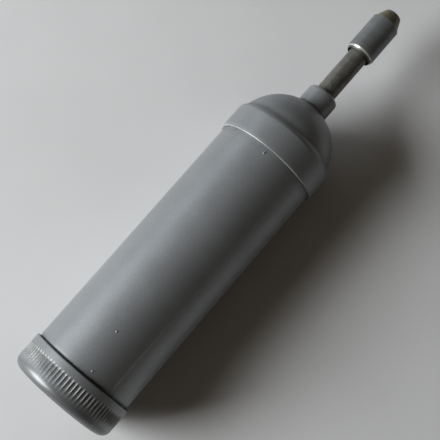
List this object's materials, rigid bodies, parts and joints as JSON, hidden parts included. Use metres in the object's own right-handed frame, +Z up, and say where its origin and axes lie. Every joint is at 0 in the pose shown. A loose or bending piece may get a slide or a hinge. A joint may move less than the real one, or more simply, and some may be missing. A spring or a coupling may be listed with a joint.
{
  "type": "push-type hand grease gun",
  "caption": "Slim hand grease gun: painted steel barrel, knurled screw cap, domed head, sprung push-in nozzle tube with coupler sleeve and tapered tip.",
  "frame": {"origin": "on the ground under the middle of the gun's length, the gun lying on its side as it does on a bench", "axes": "+X along the gun's axis towards the nozzle, +Z up"},
  "size_m": [0.1906, 0.042, 0.042],
  "materials": {
    "painted_steel": "satin silver-grey paint",
    "dark_steel": "dark oiled steel",
    "sleeve_steel": "machined dark steel with a bright bevel",
    "black_steel": "blackened hardened steel",
    "bright_steel": "machined steel",
    "spring_steel": "drawn spring wire",
    "plated_steel": "zinc-plated pressed steel",
    "seal_rubber": "matte",
    "cup_leather": "greased",
    "fibre": "vulcanised fibre"
  },
  "bodies": {
    "barrel": {"barrel_tube": "painted_steel", "head_shell": "painted_steel", "pump_cylinder": "bright_steel", "cylinder_plug": "bright_steel", "gland_nut": "painted_steel", "gland_packing": "cup_leather", "return_spring": "spring_steel"},
    "nozzle": {"nozzle_tube": "dark_steel", "plunger_head": "bright_steel", "plunger_seal": "seal_rubber", "valve_retainer": "bright_steel", "check_spring": "spring_steel", "coupler_sleeve": "sleeve_steel", "nose_seal": "seal_rubber", "coupler_nose": "black_steel"},
    "valve_ball": {"check_ball": "bright_steel"},
    "follower": {"follower_dish": "plated_steel", "follower_cup": "cup_leather", "follower_disc": "plated_steel", "follower_rivet": "bright_steel"},
    "spring_carrier": {"spring_seat": "plated_steel", "follower_spring": "spring_steel"},
    "cap": {"rear_cap": "painted_steel", "cap_gasket": "fibre"}
  },
  "joints": [
    {"name": "nozzle_slide", "type": "slide", "parent": "barrel", "child": "nozzle", "axis": [1, 0, 0], "range_m": [-0.018, 0], "stiffness_N_per_m": 900, "springref_m": 0.012, "deforming": ["return_spring"]},
    {"name": "check_lift", "type": "slide", "parent": "nozzle", "child": "valve_ball", "axis": [1, 0, 0], "range_m": [0, 0.0012], "stiffness_N_per_m": 60, "springref_m": -0.002, "deforming": ["check_spring"]},
    {"name": "follower_slide", "type": "slide", "parent": "barrel", "child": "follower", "axis": [1, 0, 0], "range_m": [-0.062, 0], "stiffness_N_per_m": 150, "springref_m": 0.06, "deforming": ["follower_spring"]},
    {"name": "cap_travel", "type": "slide", "parent": "barrel", "child": "spring_carrier", "axis": [-1, 0, 0], "range_m": [0, 0.0075]},
    {"name": "cap_turn", "type": "hinge", "parent": "spring_carrier", "child": "cap", "pos_m": [-0.08775, 0, 0.021], "axis": [-1, 0, 0], "range_deg": [0, 1080]}
  ],
  "couplings": [
    {"joint": "cap_travel", "follows": "cap_turn", "m_per_rad": 0.00039789}
  ]
}
